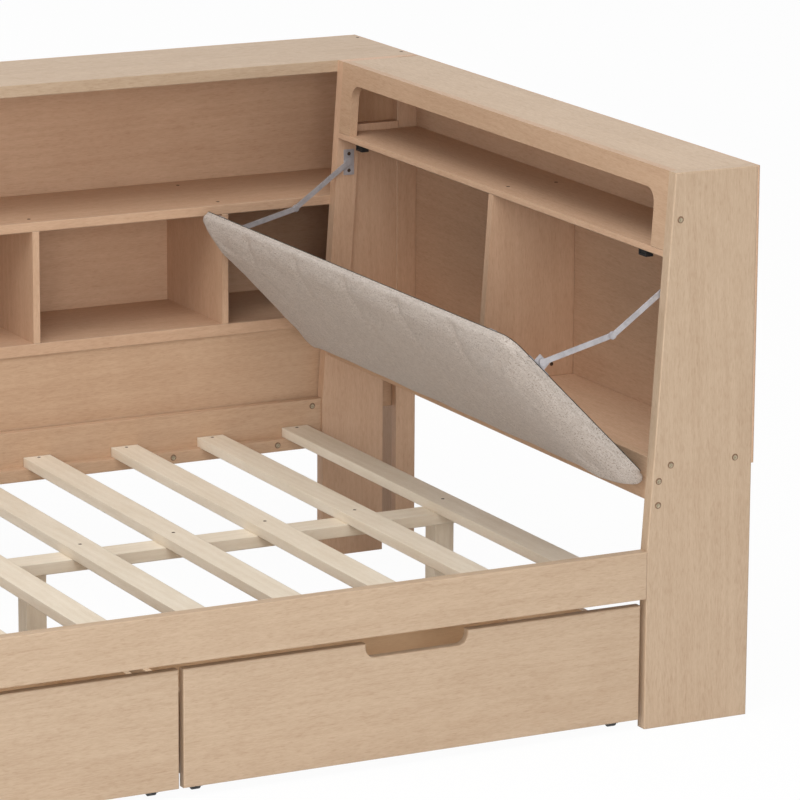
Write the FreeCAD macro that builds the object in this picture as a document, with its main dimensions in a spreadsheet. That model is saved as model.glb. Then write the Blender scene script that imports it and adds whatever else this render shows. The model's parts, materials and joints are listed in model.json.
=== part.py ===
import FreeCAD
import Part
import Sketcher

import os
import re

# Corner bed with a bookcase headboard, a bookcase along its long side,
# a padded drop flap on folding stays and two rolling drawers.
# X runs along the bed to the headboard, Y to the back bookcase, Z up.

document = FreeCAD.newDocument("CornerBed")
sheet = document.addObject("Spreadsheet::Sheet", "Sizes")

sizes = {
    # overall frame
    "height": 1080,
    "innerLength": 1943,
    "innerWidth": 1392,
    "headDepth": 226,
    "headTopDepth": 178,
    "caseDepth": 281,
    "panelThick": 25,
    "backThick": 5,
    "backLap": 28,
    "edgeRound": 3,
    # rails, slats and centre support
    "railTop": 352,
    "frontRailHeight": 94,
    "backRailHeight": 106,
    "backRailThick": 20,
    "slatTop": 297,
    "slatThick": 20,
    "slatWidth": 60,
    "slatHeadGap": 35,
    "slatFootGap": 52,
    "slatPlay": 1,
    "cleatHeight": 26,
    "cleatThick": 22,
    "beamWidth": 62,
    "beamThick": 24,
    "beamHeadGap": 51,
    "beamFootGap": 63,
    "legWidth": 42,
    # headboard
    "postWidth": 46,
    "postSetback": 5,
    "nicheDrop": 152,
    "nicheShelfThick": 12,
    "fasciaBand": 42,
    "nicheCorner": 30,
    "fasciaThick": 18,
    "fasciaLeg": 48,
    "topThick": 25,
    "windowSill": 15,
    "windowTopDrop": 40,
    "windowMargin": 30.6,
    "stileWidth": 49,
    "stileRecess": 8,
    "postSlot": 35,
    "headDividerThick": 18,
    "lowerThick": 19,
    "lowerHeight": 84,
    "deckDrop": 550,
    # back bookcase
    "caseEndThick": 18,
    "middleTop": 790,
    "middleThick": 20,
    "caseFloorTop": 532,
    "caseBackLap": 30,
    "dividerThick": 15,
    "apronSetback": 4,
    "apronThick": 15,
    "apronLap": 40,
    # drawers
    "drawerGap": 9,
    "drawerHeadGap": 8,
    "drawerFootGap": 10,
    "drawerSetback": 7,
    "drawerBottom": 18,
    "drawerTopGap": 13,
    "drawerFrontThick": 18,
    "drawerBackGap": 190,
    "drawerWallInset": 10,
    "drawerWallThick": 12,
    "drawerWallHeight": 156,
    "drawerFloorThick": 6,
    "notchWidth": 214,
    "notchDepth": 28,
    "notchCorner": 20,
    "wheelRadius": 14,
    "wheelWidth": 14,
    "wheelInset": 40,
    "wheelFrontGap": 23,
    "wheelRearGap": 46,
    "wheelRoom": 4,
    "axleRadius": 2,
    "axlePlay": 0.05,
    "forkPlay": 1,
    "forkThick": 2,
    "forkLength": 26,
    "forkDrop": 6,
    # drop flap
    "hingeDrop": 34,
    "flapOpen": 44.6,
    "flapTopGap": 7,
    "flapFoot": 5,
    "flapSideGap": 4,
    "flapThick": 12,
    "flapCorner": 32,
    "flapFootCorner": 18,
    "padThick": 32,
    "padSideLap": 2.5,
    "padTopLap": 4,
    "padFootLap": 14,
    # flap hinges
    "knuckleRadius": 4,
    "pinRadius": 2,
    "pinPlay": 0.05,
    "hingeLength": 60,
    "hingeEndGap": 150,
    "leafThick": 2,
    "leafHeight": 26,
    "knucklePlay": 0.4,
    "knuckleRoom": 0.5,
    # folding stays
    "stayPivotDepth": 165,
    "stayPivotDrop": 51,
    "stayKneeAlong": 153.9,
    "stayKneeSag": 28.6,
    "stayTopGap": 84.9,
    "stayStandoff": 10,
    "stayWidth": 11,
    "stayThick": 2,
    "stayEye": 7.5,
    "stayRivet": 3,
    "stayPlay": 0.05,
    "stayGap": 0.4,
    "plateWidth": 24,
    "plateRise": 26,
    "plateDrop": 29,
    "bracketLength": 58,
    "bracketFoot": 26,
    "bracketLug": 28,
    # magnetic catches
    "catchWidth": 28,
    "catchDepth": 16,
    "catchHeight": 14,
    "catchSetback": 5,
    "catchEndGap": 72,
    "catchJaw": 3,
    "strikeHeight": 20,
    "strikeTopGap": 3,
}
slatCount = 10
bayCount = 5

# sizes that follow from the driving ones
derived = {
    "slope": "(headDepth - headTopDepth) / (height - railTop)",
    "nicheFloor": "height - nicheDrop",
    "nicheHeight": "nicheDrop - fasciaBand",
    "deckTop": "height - deckDrop",
    "hingeHeight": "deckTop - hingeDrop",
    "flapLength": "(nicheFloor - nicheShelfThick - flapTopGap - hingeHeight) / cos(atan(slope))",
    "drawerWidth": "(innerLength - drawerHeadGap - drawerGap - drawerFootGap) / 2",
    "drawerTop": "railTop - frontRailHeight - drawerTopGap",
    "drawerDepth": "innerWidth / 2 - legWidth / 2 - drawerBackGap",
    "drawerWallBottom": "2 * wheelRadius + wheelRoom + forkThick",
    "stayPivotHeight": "nicheFloor - nicheShelfThick - stayPivotDrop",
    "stayAlong": "flapLength - stayTopGap",
}

for row, (name, value) in enumerate(sizes.items(), start=1):
    sheet.set(f"A{row}", name)
    sheet.set(f"B{row}", str(value))
    sheet.setAlias(f"B{row}", name)
document.recompute()

aliasPattern = re.compile(r"\b(" + "|".join(sizes) + r")\b")
derivedPattern = re.compile(r"\b(" + "|".join(derived) + r")\b")
tolerance = 0.01
subParts = []


def expression(text):
    # derived sizes give way to their formulas, driving sizes to their cells
    while derivedPattern.search(text):
        text = derivedPattern.sub(lambda match: f"({derived[match[0]]})", text)
    return aliasPattern.sub(r"Sizes.\1", text)


def number(text):
    return float(sheet.evalExpression(expression(text)))


def bind(feature, **properties):
    for name, text in properties.items():
        feature.setExpression(name.replace("__", "."), expression(text))


def place(feature, x, y, z):
    bind(feature, Placement__Base__x=x, Placement__Base__y=y, Placement__Base__z=z)


def keep(feature, label):
    feature.Label = label
    subParts.append(feature)
    return feature


# planes of the frame, worked out from the driving sizes
length = "(panelThick + innerLength + headDepth + backThick)"
width = "(panelThick + innerWidth + caseDepth + backThick)"
xLeft = f"(-{length} / 2)"
xFoot = f"({xLeft} + panelThick)"
xHead = f"({xFoot} + innerLength)"
xBack = f"({xHead} + headDepth)"
yFront = f"(-{width} / 2)"
yRail = f"({yFront} + panelThick)"
yCase = f"({yRail} + innerWidth)"
yFar = f"({yCase} - panelThick)"
yBackRail = f"({yCase} - backRailThick)"
yRear = f"({yCase} + caseDepth)"


def slant(z):
    # the headboard's front edge leans back above the rail
    return f"({xHead} + slope * (({z}) - railTop))"


def block(name, x, y, z):
    box = document.addObject("Part::Box", name)
    spans = [f"({high}) - ({low})" for low, high in (x, y, z)]
    bind(box, Length=spans[0], Width=spans[1], Height=spans[2])
    place(box, x[0], y[0], z[0])
    return box


def board(label, x, y, z):
    return keep(block(label, x, y, z), label)


def rod(name, radius, reach, x, y, z):
    # a cylinder along Y whose lower end is at the given point
    cylinder = document.addObject("Part::Cylinder", name)
    cylinder.Placement.Rotation = FreeCAD.Rotation(FreeCAD.Vector(-1, 0, 0), 90)
    bind(cylinder, Radius=radius, Height=reach)
    place(cylinder, x, y, z)
    return cylinder


def fuse(name, pieces):
    fusion = document.addObject("Part::MultiFuse", name)
    fusion.Shapes = pieces
    return fusion


def cut(name, base, tool):
    difference = document.addObject("Part::Cut", name)
    difference.Base = base
    difference.Tool = tool
    return difference


def group(label, pieces):
    # separate solids of one kind that share a node
    compound = document.addObject("Part::Compound", label)
    compound.Links = pieces
    return keep(compound, label)


def outline(body, name, role, points):
    # a closed polygon, each corner dimensioned from the body's origin
    sketch = body.newObject("Sketcher::SketchObject", name)
    plane = next(item for item in body.Origin.OriginFeatures if item.Role == role)
    sketch.AttachmentSupport = [(plane, "")]
    sketch.MapMode = "FlatFace"
    corners = [FreeCAD.Vector(number(u), number(v), 0) for u, v in points]
    for start, end in zip(corners, corners[1:] + corners[:1]):
        sketch.addGeometry(Part.LineSegment(start, end))
    for index, corner in enumerate(points):
        sketch.addConstraint(Sketcher.Constraint("Coincident", index, 2, (index + 1) % len(points), 1))
        for kind, text in zip(("DistanceX", "DistanceY"), corner):
            position = sketch.addConstraint(Sketcher.Constraint(kind, -1, 1, index, 1, number(text)))
            sketch.setExpression(f"Constraints[{position}]", expression(text))
    return sketch


def profile(label, role, points, depth, at, towardsNegative=False):
    # a pad of the outline; on XZ it runs towards +Y and on YZ towards +X unless turned
    body = document.addObject("PartDesign::Body", label)
    sketch = outline(body, f"{label}_outline", role, points)
    pad = body.newObject("PartDesign::Pad", f"{label}_pad")
    pad.Profile = sketch
    pad.Reversed = (role == "XZ_Plane") != towardsNegative
    bind(pad, Length=depth)
    place(body, *at)
    document.recompute()
    return keep(body, label)


def roundEdges(body, radius, chosen):
    # fillet every edge of the body that the test picks, in the body's own frame
    base = body.Tip
    names = [f"Edge{i}" for i, edge in enumerate(base.Shape.Edges, start=1) if chosen(edge.BoundBox)]
    fillet = body.newObject("PartDesign::Fillet", f"{body.Name}_round")
    fillet.Base = (base, names)
    bind(fillet, Radius=radius)
    document.recompute()


def near(value, text):
    return abs(value - number(text)) < tolerance


def headboardBoard(label, z, y, setback="0"):
    # a board whose front edge follows the slant and whose back meets the back panel
    front = f"({slant(z[0])} + {setback})"
    reach = f"({xBack} - {front})"
    rise = f"(({z[1]}) - ({z[0]}))"
    points = [("0", "0"), (reach, "0"), (reach, rise), (f"slope * {rise}", rise)]
    return profile(label, "XZ_Plane", points, f"({y[1]}) - ({y[0]})", (front, y[0], z[0]))


def makeEndPanels():
    lean = "headDepth - headTopDepth"
    nearPanel = profile(
        "near_end_panel", "XZ_Plane",
        [("0", "0"), ("headDepth", "0"), ("headDepth", "height"), (lean, "height"), ("0", "railTop")],
        "panelThick", (xHead, yFront, "0"))
    roundEdges(nearPanel, "edgeRound", lambda box: near(box.YMax, "0") and not near(box.ZMax, "0")
               and not near(box.XMin, "headDepth"))
    rear = "headDepth - postWidth"
    sill = "nicheFloor + windowSill"
    lintel = "height - windowTopDrop"
    windowEdge = f"slope * ({lintel} - railTop) + windowMargin"
    under = "deckTop - lowerHeight"
    farPanel = profile(
        "far_end_panel", "XZ_Plane",
        [("0", "0"), (f"{rear} - postSlot", "0"), (f"{rear} - postSlot", under), (rear, under), (rear, sill),
         (windowEdge, sill), (windowEdge, lintel), (rear, lintel), (rear, "height"), (lean, "height"),
         ("0", "railTop")],
        "panelThick", (xHead, yFar, "0"))
    # behind its front stile the panel is set back inside the cupboard
    ceiling = "(nicheFloor - nicheShelfThick)"
    recess = outline(farPanel, "stile_recess", "XZ_Plane", [
        ("slope * (deckTop - railTop) + stileWidth", "deckTop"), (rear, "deckTop"), (rear, ceiling),
        (f"slope * ({ceiling} - railTop) + stileWidth", ceiling)])
    pocket = farPanel.newObject("PartDesign::Pocket", "stile_pocket")
    pocket.Profile = recess
    bind(pocket, Length="stileRecess")
    document.recompute()
    board("corner_post", (f"{xBack} - postWidth", xBack), (f"{yFar} + postSetback", yCase), ("0", "height"))


def makeHeadboard():
    span = f"({yFar} - {yRail})"
    rise = "(height - nicheFloor)"
    run = f"(slope * {rise})"
    fascia = profile(
        "headboard_fascia", "XZ_Plane",
        [("0", "0"), ("fasciaThick", "0"), (f"{run} + fasciaThick", rise), (run, rise)],
        span, (slant("nicheFloor"), yRail, "nicheFloor"))
    cutOut = outline(fascia, "fascia_cut_out", "YZ_Plane", [
        ("fasciaLeg", "0"), (f"{span} - fasciaLeg", "0"),
        (f"{span} - fasciaLeg", "nicheHeight"), ("fasciaLeg", "nicheHeight")])
    pocket = fascia.newObject("PartDesign::Pocket", "fascia_pocket")
    pocket.Profile = cutOut
    pocket.Reversed = True
    bind(pocket, Length=f"{run} + 2 * fasciaThick")
    document.recompute()
    roundEdges(fascia, "nicheCorner", lambda box: near(box.ZMin, "nicheHeight") and near(box.YLength, "0"))
    inside = (yRail, yFar)
    headboardBoard("headboard_top", ("height - topThick", "height"), inside, "fasciaThick")
    headboardBoard("headboard_shelf", ("nicheFloor - nicheShelfThick", "nicheFloor"), inside)
    middle = f"(({yRail} + {yFar}) / 2)"
    headboardBoard("headboard_divider", ("deckTop", "nicheFloor - nicheShelfThick"),
                   (f"{middle} - headDividerThick / 2", f"{middle} + headDividerThick / 2"))
    lowerBack = f"({lowerFront} + lowerThick)"
    board("headboard_lower_rail", (lowerFront, lowerBack), inside, ("deckTop - lowerHeight", "deckTop"))
    board("headboard_bottom_shelf", (lowerBack, xBack), inside, ("deckTop - topThick", "deckTop"))
    board("headboard_back_panel", (xBack, f"{xBack} + backThick"), (yFront, yRear),
          ("deckTop - backLap", "height"))


def makeBookcase():
    inside = (xFoot, f"{xBack} - caseEndThick")
    depth = (yCase, yRear)
    top = "height - topThick"
    board("bookcase_top", (xFoot, xBack), depth, (top, "height"))
    board("bookcase_left_panel", (xLeft, xFoot), depth, ("0", "height"))
    board("bookcase_right_panel", (inside[1], xBack), depth, ("0", top))
    board("bookcase_middle_shelf", inside, depth, ("middleTop - middleThick", "middleTop"))
    board("bookcase_bottom_shelf", inside, depth, ("caseFloorTop - topThick", "caseFloorTop"))
    bay = f"(({inside[1]} - {inside[0]} - {bayCount - 1} * dividerThick) / {bayCount})"
    dividers = []
    for index in range(1, bayCount):
        start = f"({xFoot} + {index} * {bay} + {index - 1} * dividerThick)"
        dividers.append(block(f"bookcase_divider_{index}", (start, f"{start} + dividerThick"), depth,
                              ("caseFloorTop", "middleTop - middleThick")))
    group("bookcase_dividers", dividers)
    apronFront = f"{yCase} + apronSetback"
    board("bookcase_apron", inside, (apronFront, f"{apronFront} + apronThick"),
          ("railTop - apronLap", "caseFloorTop - topThick"))
    board("bookcase_back_panel", (xLeft, f"{xBack} + backThick"), (yRear, f"{yRear} + backThick"),
          ("caseFloorTop - caseBackLap", "height"))


def makeBedBase():
    inside = (xFoot, xHead)
    rail = profile(
        "front_rail", "YZ_Plane",
        [("0", "0"), ("panelThick", "0"), ("panelThick", "frontRailHeight"), ("0", "frontRailHeight")],
        "innerLength", (xFoot, yFront, "railTop - frontRailHeight"))
    roundEdges(rail, "edgeRound", lambda box: near(box.XLength, "innerLength") and
               (near(box.ZMin, "frontRailHeight") or near(box.YMax, "0")))
    board("back_rail", inside, (yBackRail, yCase), ("railTop - backRailHeight", "railTop"))
    board("foot_panel", (xLeft, xFoot), (yFront, yCase), ("0", "railTop"))
    slatBottom = "slatTop - slatThick"
    cleat = (f"{slatBottom} - cleatHeight", slatBottom)
    board("front_cleat", inside, (yRail, f"{yRail} + cleatThick"), cleat)
    board("back_cleat", inside, (f"{yBackRail} - cleatThick", yBackRail), cleat)
    beamStart = f"({xFoot} + beamFootGap)"
    beamEnd = f"({xHead} - beamHeadGap)"
    centre = f"(({yRail} + {yBackRail}) / 2)"
    beamBottom = f"({slatBottom} - beamThick)"
    board("centre_beam", (beamStart, beamEnd), (f"{centre} - beamWidth / 2", f"{centre} + beamWidth / 2"),
          (beamBottom, slatBottom))
    legs = []
    for index, start in enumerate([beamStart, f"(({beamStart} + {beamEnd} - legWidth) / 2)",
                                   f"({beamEnd} - legWidth)"], start=1):
        legs.append(block(f"centre_leg_{index}", (start, f"{start} + legWidth"),
                          (f"{centre} - legWidth / 2", f"{centre} + legWidth / 2"), ("0", beamBottom)))
    group("centre_legs", legs)
    pitch = f"((innerLength - slatHeadGap - slatFootGap - slatWidth) / {slatCount - 1})"
    for index in range(slatCount):
        right = f"({xHead} - slatHeadGap - {index} * {pitch})"
        board(f"slat_{index + 1:02d}", (f"{right} - slatWidth", right),
              (f"{yRail} + slatPlay", f"{yBackRail} - slatPlay"), (slatBottom, "slatTop"))


def makeCaster(name, x, y):
    # a fork under the drawer floor with a fixed axle along X, and the wheel that turns on it
    half = "(wheelWidth / 2 + forkPlay)"
    plateTop = "drawerWallBottom"
    depth = (f"{y} - forkLength / 2", f"{y} + forkLength / 2")
    cheeks = [block(f"{name}_cheek_{side}", (f"{x} + {low}", f"{x} + {low} + forkThick"), depth,
                    ("wheelRadius - forkDrop", plateTop))
              for side, low in (("left", f"(-{half} - forkThick)"), ("right", half))]
    bridge = block(f"{name}_bridge", (f"{x} - {half}", f"{x} + {half}"), depth,
                   (f"{plateTop} - forkThick", plateTop))
    axle = document.addObject("Part::Cylinder", f"{name}_axle")
    wheel = document.addObject("Part::Cylinder", f"{name}_tread")
    bore = document.addObject("Part::Cylinder", f"{name}_bore")
    for cylinder, radius, reach in ((axle, "axleRadius", f"2 * {half}"), (wheel, "wheelRadius", "wheelWidth"),
                                    (bore, "axleRadius + axlePlay", "wheelWidth")):
        cylinder.Placement.Rotation = FreeCAD.Rotation(FreeCAD.Vector(0, 1, 0), 90)
        bind(cylinder, Radius=radius, Height=reach)
        place(cylinder, f"{x} - ({reach}) / 2", y, "wheelRadius")
    return fuse(f"{name}_fork", [*cheeks, bridge, axle]), cut(f"{name}_wheel", wheel, bore)


def makeDrawer(side, xStart):
    frontFace = f"({yFront} + drawerSetback)"
    frontBack = f"({frontFace} + drawerFrontThick)"
    rise = "(drawerTop - drawerBottom)"
    notchLeft = "(drawerWidth - notchWidth) / 2"
    notchRight = "(drawerWidth + notchWidth) / 2"
    notchFloor = f"{rise} - notchDepth"
    front = profile(
        f"{side}_drawer_front", "XZ_Plane",
        [("0", "0"), ("drawerWidth", "0"), ("drawerWidth", rise), (notchRight, rise),
         (notchRight, notchFloor), (notchLeft, notchFloor), (notchLeft, rise), ("0", rise)],
        "drawerFrontThick", (xStart, frontFace, "drawerBottom"))
    roundEdges(front, "notchCorner", lambda box: near(box.ZMin, notchFloor) and near(box.ZMax, notchFloor)
               and near(box.XLength, "0"))
    roundEdges(front, "edgeRound", lambda box: near(box.YMax, "0"))
    wallEnd = f"({frontBack} + drawerDepth)"
    leftWall = f"({xStart} + drawerWallInset)"
    rightWall = f"({xStart} + drawerWidth - drawerWallInset - drawerWallThick)"
    wallRise = ("drawerWallBottom", "drawerWallBottom + drawerWallHeight")
    walls = [block(f"{side}_drawer_wall_{name}", (start, f"{start} + drawerWallThick"),
                   (frontBack, wallEnd), wallRise)
             for name, start in (("left", leftWall), ("right", rightWall))]
    group(f"{side}_drawer_sides", walls)
    between = (f"{leftWall} + drawerWallThick", rightWall)
    board(f"{side}_drawer_back", between, (f"{wallEnd} - drawerWallThick", wallEnd), wallRise)
    board(f"{side}_drawer_floor", between, (frontBack, f"{wallEnd} - drawerWallThick"),
          ("drawerWallBottom", "drawerWallBottom + drawerFloorThick"))
    forks = []
    ends = (("left", f"({xStart} + wheelInset)"), ("right", f"({xStart} + drawerWidth - wheelInset)"))
    for row, y in (("front", f"({frontBack} + wheelFrontGap)"), ("rear", f"({wallEnd} - wheelRearGap)")):
        wheels = []
        for end, x in ends:
            fork, wheel = makeCaster(f"{side}_{row}_{end}", x, y)
            forks.append(fork)
            wheels.append(wheel)
        group(f"{side}_drawer_{row}_wheels", wheels)
    group(f"{side}_drawer_casters", forks)


# the flap's own frame: hinge axis at its origin, z along the flap, x towards the cupboard
hingeX = slant("hingeHeight")
lowerFront = f"({hingeX} + knuckleRadius + knuckleRoom)"
flapWidth = f"({yFar} - {yRail} - 2 * flapSideGap)"


def tilt(feature, y, x="0", z="0"):
    # puts a feature's own origin at a point of the flap's frame, leaning as the open flap does
    feature.Placement = FreeCAD.Placement(
        FreeCAD.Vector(0, 0, 0), FreeCAD.Rotation(FreeCAD.Vector(0, -1, 0), number("flapOpen")))
    bind(feature, Placement__Rotation__Angle="flapOpen")
    place(feature, f"{hingeX} + ({x}) * cos(flapOpen) - ({z}) * sin(flapOpen)", y,
          f"hingeHeight + ({x}) * sin(flapOpen) + ({z}) * cos(flapOpen)")


def roundedSection(x, inset, low, high, side, corners):
    # rounded rectangle across the pad at depth x, drawn in by the inset, with its foot and head corners
    y0, y1 = side[0] + inset, side[1] - inset
    z0, z1 = low + inset, high - inset
    foot, head = corners
    footMiddle, headMiddle = (radius * (1 - 0.5 ** 0.5) for radius in corners)
    starts = [(y1 - foot, z0), (y1, z1 - head), (y0 + head, z1), (y0, z0 + foot)]
    middles = [(y1 - footMiddle, z0 + footMiddle), (y1 - headMiddle, z1 - headMiddle),
               (y0 + headMiddle, z1 - headMiddle), (y0 + footMiddle, z0 + footMiddle)]
    ends = [(y1, z0 + foot), (y1 - head, z1), (y0, z1 - head), (y0 + foot, z0)]
    edges = []
    for index in range(len(starts)):
        start, middle, end = (FreeCAD.Vector(x, *point[index]) for point in (starts, middles, ends))
        follow = FreeCAD.Vector(x, *starts[(index + 1) % len(starts)])
        edges.append(Part.Arc(start, middle, end).toShape())
        edges.append(Part.LineSegment(end, follow).toShape())
    return Part.Wire(edges)


def makeFlap():
    flap = profile(
        "flap_board", "YZ_Plane",
        [("0", "flapFoot"), (flapWidth, "flapFoot"), (flapWidth, "flapLength"), ("0", "flapLength")],
        "flapThick", ("0", "0", "0"), towardsNegative=True)
    for radius, level in (("flapCorner", "flapLength"), ("flapFootCorner", "flapFoot")):
        roundEdges(flap, radius, lambda box: near(box.XLength, "flapThick") and near(box.ZMin, level))
    tilt(flap, f"{yRail} + flapSideGap")
    # the pad swells from its seam on the board to its widest line and closes in a crown
    thick = number("padThick")
    back = -number("flapThick")
    side = (-number("padSideLap"), number(f"{flapWidth} + padSideLap"))
    low = -number("padFootLap")
    high = number("flapLength + padTopLap")
    swell = [(0, 0.12), (0.3, 0), (0.62, 0.16), (0.86, 0.62), (1, 1.4)]
    corners = (number("flapFootCorner"), number("flapCorner"))
    sections = [roundedSection(back - thick * depth, thick * inset, low, high, side, corners)
                for depth, inset in swell]
    pad = document.addObject("Part::Feature", "flap_pad")
    pad.Shape = Part.makeLoft(sections, True, True)
    tilt(pad, f"{yRail} + flapSideGap")
    keep(pad, "flap_pad")


def makeHinges():
    # butt hinges: outer knuckles on the rail's leaf, the middle one on the flap's leaf, one pin through
    frameLeaves = []
    flapLeaves = []
    pins = []
    span = f"({yFar} - {yRail} - hingeLength)"
    knuckle = "(hingeLength / 3)"
    starts = [f"({yRail} + hingeEndGap)", f"({yRail} + {span} / 2)", f"({yRail} + {span} - hingeEndGap)"]
    for index, start in enumerate(starts, start=1):
        name = f"hinge_{index}"
        leaf = block(f"{name}_frame_leaf", (f"{lowerFront} - leafThick", lowerFront),
                     (start, f"{start} + hingeLength"),
                     ("hingeHeight - leafHeight", "hingeHeight - knuckleRadius - knucklePlay"))
        pieces = [leaf]
        for end, low in (("near", start), ("far", f"({start} + 2 * {knuckle})")):
            pieces.append(rod(f"{name}_{end}_knuckle", "knuckleRadius", knuckle, hingeX, low, "hingeHeight"))
            pieces.append(block(f"{name}_{end}_tab",
                                (f"{lowerFront} - leafThick", f"{lowerFront} - knucklePlay"),
                                (low, f"{low} + {knuckle}"),
                                ("hingeHeight - knuckleRadius - 2 * knucklePlay", "hingeHeight")))
        bore = rod(f"{name}_frame_bore", "pinRadius + pinPlay", "hingeLength", hingeX, start, "hingeHeight")
        frameLeaves.append(cut(f"{name}_frame", fuse(f"{name}_frame_solid", pieces), bore))
        inner = f"({start} + {knuckle} + knucklePlay)"
        reach = f"({knuckle} - 2 * knucklePlay)"
        barrel = rod(f"{name}_flap_knuckle", "knuckleRadius", reach, "0", "0", "0")
        strap = block(f"{name}_flap_leaf", ("0", "leafThick"), ("0", reach), ("0", "leafHeight"))
        innerBore = rod(f"{name}_flap_bore", "pinRadius + pinPlay", reach, "0", "0", "0")
        swing = cut(f"{name}_flap", fuse(f"{name}_flap_solid", [barrel, strap]), innerBore)
        tilt(swing, inner)
        flapLeaves.append(swing)
        pins.append(rod(f"{name}_pin", "pinRadius", "hingeLength", hingeX, start, "hingeHeight"))
    group("hinge_frame_leaves", frameLeaves)
    group("hinge_flap_leaves", flapLeaves)
    group("hinge_pins", pins)


def mirrored(side, start, end):
    # a band of depth measured in from the near or the far panel
    if side == "near":
        return f"({yRail} + {start})", f"({yRail} + {end})"
    return f"({yFar} - ({end}))", f"({yFar} - ({start}))"


pivotX = f"({xBack} - stayPivotDepth)"
anchorX = f"({hingeX} - stayAlong * sin(flapOpen) + stayStandoff * cos(flapOpen))"
anchorZ = "(hingeHeight + stayAlong * cos(flapOpen) + stayStandoff * sin(flapOpen))"
reachX = f"({anchorX} - {pivotX})"
reachZ = f"({anchorZ} - stayPivotHeight)"
reach = f"sqrt({reachX}^2 + {reachZ}^2)"
towardsAnchor = f"atan2({reachZ}; {reachX})"
beyondKnee = f"({reach} - stayKneeAlong)"
upperLength = "sqrt(stayKneeAlong^2 + stayKneeSag^2)"
lowerLength = f"sqrt({beyondKnee}^2 + stayKneeSag^2)"
upperSwing = f"({towardsAnchor} + atan(stayKneeSag / stayKneeAlong))"
lowerSwing = f"({towardsAnchor} + 180 deg - atan(stayKneeSag / {beyondKnee}))"


def makeArm(name, arm, band, bossBand, origin, swing):
    # a flat link from its pivot eye at the origin to its knee eye, with a boss over the knee
    low, high = band
    thick = f"(({high}) - ({low}))"
    half = "stayWidth / 2"
    bar = block(f"{name}_bar", ("0", arm), ("0", thick), (f"-{half}", half))
    pivotEye = rod(f"{name}_pivot_eye", "stayEye", thick, "0", "0", "0")
    kneeEye = rod(f"{name}_knee_eye", "stayEye", thick, arm, "0", "0")
    boss = rod(f"{name}_boss", "stayEye - stayThick", f"({bossBand[1]}) - ({bossBand[0]})", arm,
               f"({bossBand[0]}) - ({low})", "0")
    hole = rod(f"{name}_hole", "stayRivet + stayPlay", thick, "0", "0", "0")
    link = cut(name, fuse(f"{name}_solid", [bar, pivotEye, kneeEye, boss]), hole)
    link.Placement.Rotation = FreeCAD.Rotation(FreeCAD.Vector(0, -1, 0), number(f"{swing} / 1 deg"))
    bind(link, Placement__Rotation__Angle=swing)
    place(link, origin[0], low, origin[1])
    return link


def makeStays():
    plates = []
    upperArms = []
    lowerArms = []
    brackets = []
    upperStart = "(stayThick + stayGap)"
    upperEnd = f"({upperStart} + stayThick)"
    lowerStart = f"({upperEnd} + stayGap)"
    lowerEnd = f"({lowerStart} + stayThick)"
    lugStart = f"({lowerEnd} + 2 * stayGap + stayThick / 2)"
    for side in ("near", "far"):
        # wall plate with the rivet that carries the upper link
        plate = block(f"{side}_plate", (f"{pivotX} - plateWidth / 2", f"{pivotX} + plateWidth / 2"),
                      mirrored(side, "0", "stayThick"),
                      ("stayPivotHeight - plateDrop", "stayPivotHeight + plateRise"))
        rivetBand = mirrored(side, "stayThick", f"({upperEnd} + stayGap / 2)")
        rivet = rod(f"{side}_plate_rivet", "stayRivet", f"{rivetBand[1]} - {rivetBand[0]}",
                    pivotX, rivetBand[0], "stayPivotHeight")
        plates.append(fuse(f"{side}_wall_plate", [plate, rivet]))
        upperArms.append(makeArm(
            f"{side}_upper_arm", upperLength, mirrored(side, upperStart, upperEnd),
            mirrored(side, f"({upperStart} - stayThick / 2)", upperStart),
            (pivotX, "stayPivotHeight"), upperSwing))
        lowerArms.append(makeArm(
            f"{side}_lower_arm", lowerLength, mirrored(side, lowerStart, lowerEnd),
            mirrored(side, lowerEnd, f"({lowerEnd} + stayThick / 2)"),
            (anchorX, anchorZ), lowerSwing))
        # angle bracket on the flap's back with the rivet that carries the lower link
        lugLow, lugHigh = mirrored(side, lugStart, f"({lugStart} + stayThick)")
        footLow, footHigh = mirrored(side, lugStart, f"({lugStart} + bracketFoot)")
        pinLow, pinHigh = mirrored(side, f"({lowerStart} - stayGap / 2)", lugStart)
        foot = block(f"{side}_bracket_foot", ("0", "stayThick"),
                     (f"{footLow} - {yRail}", f"{footHigh} - {yRail}"),
                     ("stayAlong - bracketLength / 2", "stayAlong + bracketLength / 2"))
        lug = block(f"{side}_bracket_lug", ("0", "stayStandoff + stayEye"),
                    (f"{lugLow} - {yRail}", f"{lugHigh} - {yRail}"),
                    ("stayAlong - bracketLug / 2", "stayAlong + bracketLug / 2"))
        pin = rod(f"{side}_bracket_rivet", "stayRivet", f"{pinHigh} - {pinLow}", "stayStandoff",
                  f"{pinLow} - {yRail}", "stayAlong")
        bracket = fuse(f"{side}_flap_bracket", [foot, lug, pin])
        tilt(bracket, yRail)
        brackets.append(bracket)
    group("stay_wall_plates", plates)
    group("stay_upper_arms", upperArms)
    group("stay_lower_arms", lowerArms)
    group("stay_flap_brackets", brackets)


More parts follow.
